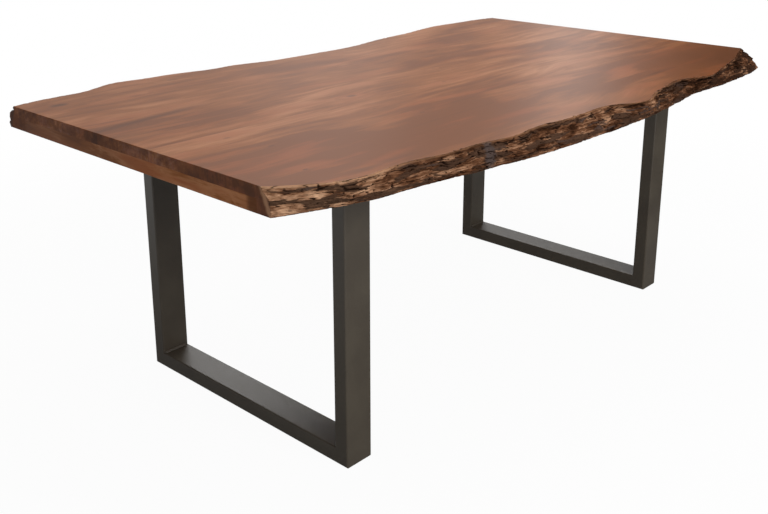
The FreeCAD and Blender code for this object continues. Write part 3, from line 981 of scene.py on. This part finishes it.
@dataclass
class Panel:
    """The core boards, and the cross members under them with the looks of their timber."""

    cross_seeds: Pair = (31.0, 38.0)
    cross_pith: Pair = (0.0, 0.50)
    cross_tone: float = 1.25
    cross_red: float = 0.8
    cross_specular: float = 0.04

    def build(self) -> None:
        """Dresses every board, batten and bearer in timber of its own."""
        for number, cut in enumerate(CORE_CUTS, 1):
            self.core_board("core_board_%d" % number, cut)
        for side, seed, knots in zip(SIDES, self.cross_seeds, (BATTEN_DARK_MARKS, ())):
            for kind in CROSS_MEMBERS:
                self.cross_member(side + "_" + kind, seed, knots)

    @staticmethod
    def core_board(node: str, cut: Cut) -> None:
        """Dresses one core board, whose glue lines are its own two long edges."""
        low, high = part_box(node)
        timber = top_timber(node, cut, joints=(low.y, high.y), end_marks=END_MARKS)
        dress(node, timber.material())

    def cross_member(self, node: str, seed: float, knots: tuple[Knot, ...]) -> None:
        """Dresses a batten or bearer, whose grain crosses the boards'."""
        timber = Timber(node + "_timber", Grain.ACROSS, self.cross_pith, seed, self.cross_tone,
                        self.cross_red, sawn=False, specular=self.cross_specular, knots=knots)
        dress(node, timber.material())


# ---- The frames ----
@dataclass
class SteelFrame:
    """One closed frame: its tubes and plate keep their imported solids, and its weld beads are rippled."""

    side: str
    coat: bpy.types.Material
    bead_steps: int = 96
    bead_around: int = 9
    leg: float = 0.0052
    ripple: float = 0.0042
    ripple_depth: float = 0.08
    crown: float = 0.22

    def build(self) -> None:
        """Dresses the steel and makes the beads."""
        for kind in ("front_post", "rear_post", "floor_rail", "mounting_plate"):
            dress(self.side + "_frame_" + kind, self.coat)
        self.beads()

    def beads(self) -> None:
        """Lays a rippled bead in each inner corner, in place of the plain ones."""
        node = self.side + "_frame_weld_beads"
        low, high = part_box(node)
        corners = [(y, z, -math.copysign(1, y - (low.y + high.y) / 2), up)
                   for y in (low.y, high.y) for z, up in ((low.z, 1), (high.z, -1))]
        for number, (y, z, towards_y, towards_z) in enumerate(corners, 1):
            rings = self.bead((low.x, high.x), (y, z), (towards_y * self.leg, towards_z * self.leg))
            mesh = lofted("%s_%d" % (node, number), [rings], outwards=towards_y * towards_z > 0)
            mesh.polygons.foreach_set("use_smooth", np.ones(len(mesh.polygons), bool))
            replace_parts(new_piece(mesh, Slot.STEEL, self.coat), node)

    def bead(self, span: Pair, corner: Pair, legs: Pair) -> Array:
        """One bead's sections along X.

        A section is the corner and a crowned arc between its two toes. The legs swell and sink as a
        sine along the bead, and shrink to the ends as the fourth root of 1 - t^8.

        Args:
            span: The X where the bead starts and where it stops.
            corner: The corner's Y and Z.
            legs: The signed legs along Y and Z.

        Returns:
            The bead's rings of points.
        """
        t = np.linspace(-1, 1, self.bead_steps)[:, None]
        x = span[0] + (t + 1) / 2 * (span[1] - span[0])
        swell = 1 - self.ripple_depth + self.ripple_depth * np.abs(np.sin(np.pi * x / self.ripple))
        size = swell * np.maximum(1 - t ** 8, 0.02) ** 0.25
        angle = np.linspace(0, np.pi / 2, self.bead_around)
        reach = 1 - self.crown + self.crown * np.abs(np.cos(2 * angle))
        across, up = (np.append(reach * part, 0.0) for part in (np.cos(angle), np.sin(angle)))
        return np.stack([x + 0 * across, corner[0] + legs[0] * size * across,
                         corner[1] + legs[1] * size * up], -1)


# ---- Fasteners ----
@dataclass
class Fasteners:
    """The bolts, washers and inserts of the frames, and the screws of the battens."""

    zinc: bpy.types.Material
    head_radius: float = 0.0048
    head_height: float = 0.0024
    recess: float = 0.0016
    blade: float = 0.0007
    cross: float = 0.55
    crown: float = 0.55
    hub: float = 0.02
    turn: float = 0.7
    rings: int = 12
    around: int = 32

    def build(self) -> None:
        """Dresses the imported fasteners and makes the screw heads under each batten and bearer."""
        for node in ("frame_bolts", "frame_washers", "threaded_inserts"):
            dress(node, self.zinc)
        for side in SIDES:
            plate_low, plate_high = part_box(side + "_frame_mounting_plate")
            for kind in CROSS_MEMBERS:
                low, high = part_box(side + "_" + kind)
                middle = (low.x + high.x) / 2
                aside = (plate_high.x - plate_low.x + high.x - low.x) / 4 if kind == "bearer" else 0.0
                heads = []
                for number in range(1, len(CORE_CUTS) + 1):
                    board_low, board_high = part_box("core_board_%d" % number)
                    across = middle + (aside if number % 2 else -aside)
                    place = (across, (board_low.y + board_high.y) / 2, low.z)
                    heads.append(self.head(place, self.turn * number))
                mesh = lofted("%s_%s_screws" % (side, kind), heads, outwards=False)
                new_piece(mesh, Slot.ZINC, self.zinc)

    def head(self, place: Triple, turn: float) -> Array:
        """One pan head seen from below.

        Its height over the timber falls from the middle as the fourth power of the radius, less a cross
        recess: two slots at right angles, each with sides that ease down over a part of the blade.

        Args:
            place: Where the screw enters the timber's underside.
            turn: How far the driver left the cross turned.

        Returns:
            Points as an array of (rings, points in a ring, 3), from the rim inwards.
        """
        radius = self.head_radius * np.append(1.0, np.linspace(1, self.hub, self.rings - 1))[:, None]
        angle = np.linspace(0, 2 * np.pi, self.around, endpoint=False)[None, :]
        across, along = radius * np.cos(angle - turn), radius * np.sin(angle - turn)
        height = self.head_height * (1 - (radius / self.head_radius) ** 4 * self.crown) + 0 * angle
        arm = np.minimum(np.abs(across), np.abs(along))
        slot = 1 - smooth_step(arm, self.blade * 0.8, self.blade * 1.2)
        height = height - self.recess * slot * (radius < self.head_radius * self.cross)
        height[0] = 0.0
        x, y, z = place
        return np.stack([x + radius * np.cos(angle), y + radius * np.sin(angle), z - height], -1)


# ---- The studio ----
@dataclass(frozen=True)
class Softbox:
    """A rectangular soft lamp: its place, what it faces, its two sides, its watts, and if gloss shows it."""

    name: str
    place: Triple
    target: Triple
    size: Pair
    watts: float
    in_gloss: bool


@dataclass
class Studio:
    """A pale floor, soft lamps, a white surround and the camera.

    Attributes:
        floor_grey: How much light the floor throws back.
        yaw: The camera's bearing from +X.
        pitch: How far it looks down.
        focal_pixels: Its focal length in pixels of a picture that is picture_width wide.
        shift: How far its picture is moved up, as a share of the width.
        ambient: The surround's even light.
        gloss_floor_shadow: How bright the floor is in gloss, with a painted shadow of the table near it:
            where that changes, and from what to what.
        gloss_corner_shade: How much darker painted shade makes it in gloss before the front right corner.
        corner_x: The X over which this sets in.
        corner_y: The Y over which it ends.
        floor_white: How white the floor shows: where that changes, and from what to what.
        panel_bearing: Where in the gloss a bright panel stands, as a share of a turn from -X.
        panel_edge: How far from there its soft edge starts and ends.
        panel_foot: The height over which it sets in.
        glow: How much brighter the back walls are near the floor, in the gloss.
        glow_top: The height over which this ends.
        glow_start: The bearing over which it sets in.
        walls: How bright the walls are in the gloss, at bearings in degrees from +X.
    """

    floor_reach: float = 40.0
    floor_grey: float = 0.55
    yaw: float = 0.749
    pitch: float = 0.2844
    stand: Triple = (-2.0873, -1.7423, 1.3104)
    focal_pixels: float = 979.0
    picture_width: float = 768.0
    sensor: float = 36.0
    shift: float = -0.13
    ambient: float = 0.50
    gloss_floor_shadow: tuple[float, ...] = (0.6, 3.4, 0.18, 1.0)
    gloss_corner_shade: float = 0.9
    corner_x: Pair = (0.7, 1.6)
    corner_y: Pair = (-0.7, -0.3)
    floor_white: tuple[float, ...] = (1.2, 3.2, 0.955, 1.0)
    panel_bearing: float = 0.628
    panel_edge: Pair = (0.035, 0.070)
    panel_foot: Pair = (0.48, 0.54)
    panel_level: float = 6.0
    glow: float = 0.36
    glow_top: Pair = (0.14, 0.26)
    glow_start: Pair = (0.592, 0.605)
    walls: tuple[Pair, ...] = (
        (-180, 0.10), (-60, 0.56), (-44, 0.56), (-36, 0.05), (0, 0.0), (26, 0.0), (29, 0.20), (31, 0.76),
        (33, 0.90), (34.5, 0.26), (36.5, 0.03), (41, 0.02), (44, 0.30), (48.5, 0.28), (53, 0.10), (64, 0.10),
        (90, 0.07), (180, 0.10))
    boxes: tuple[Softbox, ...] = (
        Softbox("key", (-0.5, -4.2, 2.6), (0.0, 0.0, 0.50), (2.8, 2.2), 190.0, True),
        Softbox("overhead", (1.3, 0.6, 3.4), (0.8, 0.2, 0.76), (3.0, 2.4), 72.0, False))

    def build(self) -> None:
        """Makes the floor, the surround, the lamps and the camera."""
        self.floor()
        self.surround()
        for box in self.boxes:
            self.lamp(box)
        self.camera()
        LOG.info("studio ready")

    def floor(self) -> None:
        """A pale floor that shows white away from the table's shadow, with painted shade that shows only in
        gloss, near the table and before its front right corner.
        """
        reach = self.floor_reach
        mesh = bpy.data.meshes.new("studio_floor")
        mesh.from_pydata([(-reach, -reach, 0), (reach, -reach, 0), (reach, reach, 0), (-reach, reach, 0)],
                         [], [(0, 1, 2, 3)])
        floor = placed("studio_floor", mesh)
        material = bpy.data.materials.new("studio_floor")
        tree = Tree(material)
        away = tree.node("ShaderNodeVectorMath", {"operation": "LENGTH"}, {0: tree.place()}, "Value")
        matt = tree.node("ShaderNodeBsdfDiffuse", {}, {"Color": (*(self.floor_grey,) * 3, 1.0)})
        # Painted shade on the floor, seen only in gloss: darker near the table and before its front right
        # corner.
        corner = tree.flat.ease(*self.corner_x) * tree.flat.output("Y").ease(*self.corner_y, 1.0, 0.0)
        level = away.ease(*self.gloss_floor_shadow) * (1 - corner * self.gloss_corner_shade)
        glossy = tree.node("ShaderNodeLightPath", output="Is Glossy Ray")
        colour = tree.mix(glossy, WHITE, tree.mix(level, BLACK, WHITE))
        glow = tree.node("ShaderNodeEmission", {}, {"Color": colour, "Strength": 1.0})
        share = self.direct(tree) * away.ease(*self.floor_white).highest(glossy)
        shown = tree.node("ShaderNodeMixShader", {}, {0: share, 1: matt, 2: glow})
        tree.node("ShaderNodeOutputMaterial", {}, {"Surface": shown})
        mesh.materials.append(material)

    @staticmethod
    def direct(tree: Tree) -> Wire:
        """One for rays that show the studio itself: the camera's, and those in gloss and through glass."""
        path = tree.node("ShaderNodeLightPath", output="Is Camera Ray")
        return path.highest(path.output("Is Glossy Ray")).highest(path.output("Is Transmission Ray"))

    def surround(self) -> None:
        """A white surround, whose walls are unevenly lit in the gloss, and an even soft grey as light."""
        world = bpy.data.worlds.new("studio_surround")
        bpy.context.scene.world = world
        tree = Tree(world)
        way = tree.node("ShaderNodeTexCoord", output="Generated")
        flat = tree.split(way)
        bearing = flat.maths("ARCTAN2", flat.output("Y"), flat) * (0.5 / math.pi) + 0.5
        stops = [(degrees / 360 + 0.5, (level, level, level)) for degrees, level in self.walls]
        walls = tree.ramp(bearing, *stops)
        height = flat.output("Z")
        glow = height.ease(*self.glow_top, self.glow, 0.0) * bearing.ease(*self.glow_start)
        walls = tree.mix(glow, walls, WHITE, "ADD")
        panel = abs(bearing - self.panel_bearing).ease(*self.panel_edge, 1.0, 0.0)
        walls = tree.mix(panel * height.ease(*self.panel_foot), walls, (self.panel_level,) * 3)
        glossy = tree.node("ShaderNodeLightPath", output="Is Glossy Ray")
        seen = tree.mix(glossy, WHITE, walls)
        shown = tree.node("ShaderNodeBackground", {}, {"Color": seen, "Strength": 1.0})
        light = tree.node("ShaderNodeBackground", {}, {"Color": (*WHITE, 1.0), "Strength": self.ambient})
        both = tree.node("ShaderNodeMixShader", {}, {0: self.direct(tree), 1: light, 2: shown})
        tree.node("ShaderNodeOutputWorld", {}, {"Surface": both})

    @staticmethod
    def lamp(box: Softbox) -> None:
        """Hangs one softbox, facing its target."""
        light = bpy.data.lights.new(box.name, "AREA")
        light.shape = "RECTANGLE"
        light.size, light.size_y = box.size
        light.energy = box.watts
        lamp = placed(box.name, light)
        lamp.location = box.place
        lamp.visible_glossy = box.in_gloss
        way = np.subtract(box.target, box.place)
        level = math.hypot(way[0], way[1])
        lamp.rotation_euler = (math.atan2(level, -way[2]), 0.0, math.atan2(way[1], way[0]) - math.pi / 2)

    def camera(self) -> None:
        """A camera at standing height off the table's front left corner."""
        lens = bpy.data.cameras.new("camera")
        lens.sensor_fit = "HORIZONTAL"
        lens.sensor_width = self.sensor
        lens.lens = self.focal_pixels / self.picture_width * self.sensor
        lens.shift_y = self.shift
        camera = placed("camera", lens)
        camera.location = self.stand
        camera.rotation_euler = (math.pi / 2 - self.pitch, 0.0, self.yaw - math.pi / 2)
        bpy.context.scene.camera = camera


def main() -> None:
    """Builds the table's sub-assemblies in order, then the studio."""
    logging.basicConfig(level=logging.INFO, format="%(name)s: %(message)s")
    bpy.context.scene.view_settings.view_transform = "Standard"
    _, front_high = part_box("front_live_edge_board")
    back_low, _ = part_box("back_live_edge_board")
    top = front_high.z
    front = top_timber("front_live_edge_board", Cut(1.0, 0.60, 0.147, 0.20, 1.3), joints=(front_high.y,))
    back = top_timber("back_live_edge_board", Cut(1.0, 0.45, -0.116, 0.22, 24.1), joints=(back_low.y,),
                      sapwood=(0.050, 0.020, 0.010))
    front_bark = Bark("front_bark", top, scars=(Knot(0.83, 0.714, 0.045, 0.85),),
                      bruises=(Knot(-0.478, 0.735, 0.019, 0.75),))
    back_bark = Bark("back_bark", top, 5.0, fresh=(-1.60, -1.30), old=(-1.60, -1.30), crusted=0.35)
    LiveEdgeBoard("front_live_edge_board", -1, front, front_bark, seed=410).build()
    LiveEdgeBoard("back_live_edge_board", 1, back, back_bark, seed=730, end_lip=0.007).build()
    Panel().build()
    coat = PowderCoat().material()
    for side in SIDES:
        SteelFrame(side, coat).build()
    Fasteners(ZincPlate().material()).build()
    Studio().build()


if __name__ == "__main__":
    main()
